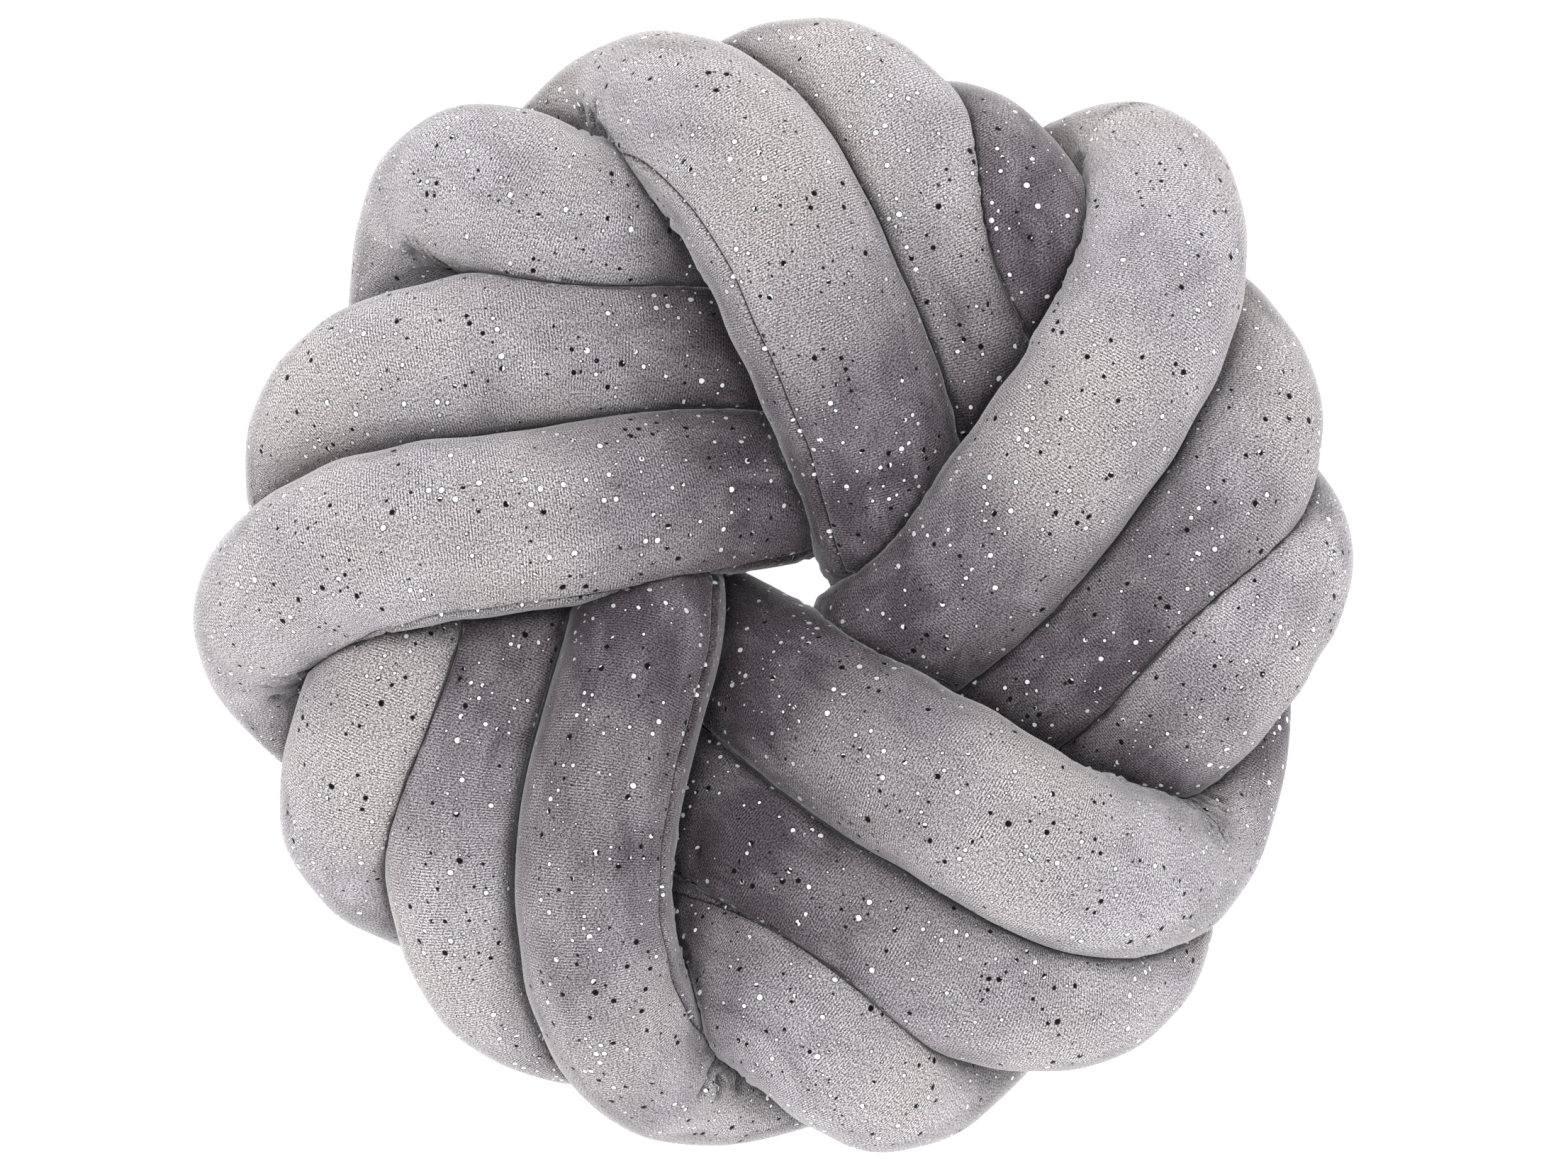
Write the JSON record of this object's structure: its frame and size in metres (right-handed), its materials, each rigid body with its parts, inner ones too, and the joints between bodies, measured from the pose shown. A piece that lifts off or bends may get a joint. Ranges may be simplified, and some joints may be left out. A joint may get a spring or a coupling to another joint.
{
  "type": "knot cushion",
  "caption": "Round knot cushion of stuffed velvet tubes plaited into a flat pinwheel round a small open centre, woven alike on face and back.",
  "frame": {"origin": "middle of the bounding box's footprint, on the surface that the cushion rests on", "axes": "+Z out of the face, the shortest extent; +X to the right and +Y up as the face is seen in the picture"},
  "size_m": [0.3082, 0.3024, 0.1112],
  "materials": {
    "velvet": "short-pile ribbed velvet, mauve-grey, with scattered silver foil dots"
  },
  "bodies": {
    "root": {"long_tube": "velvet", "short_tube": "velvet"}
  },
  "joints": []
}
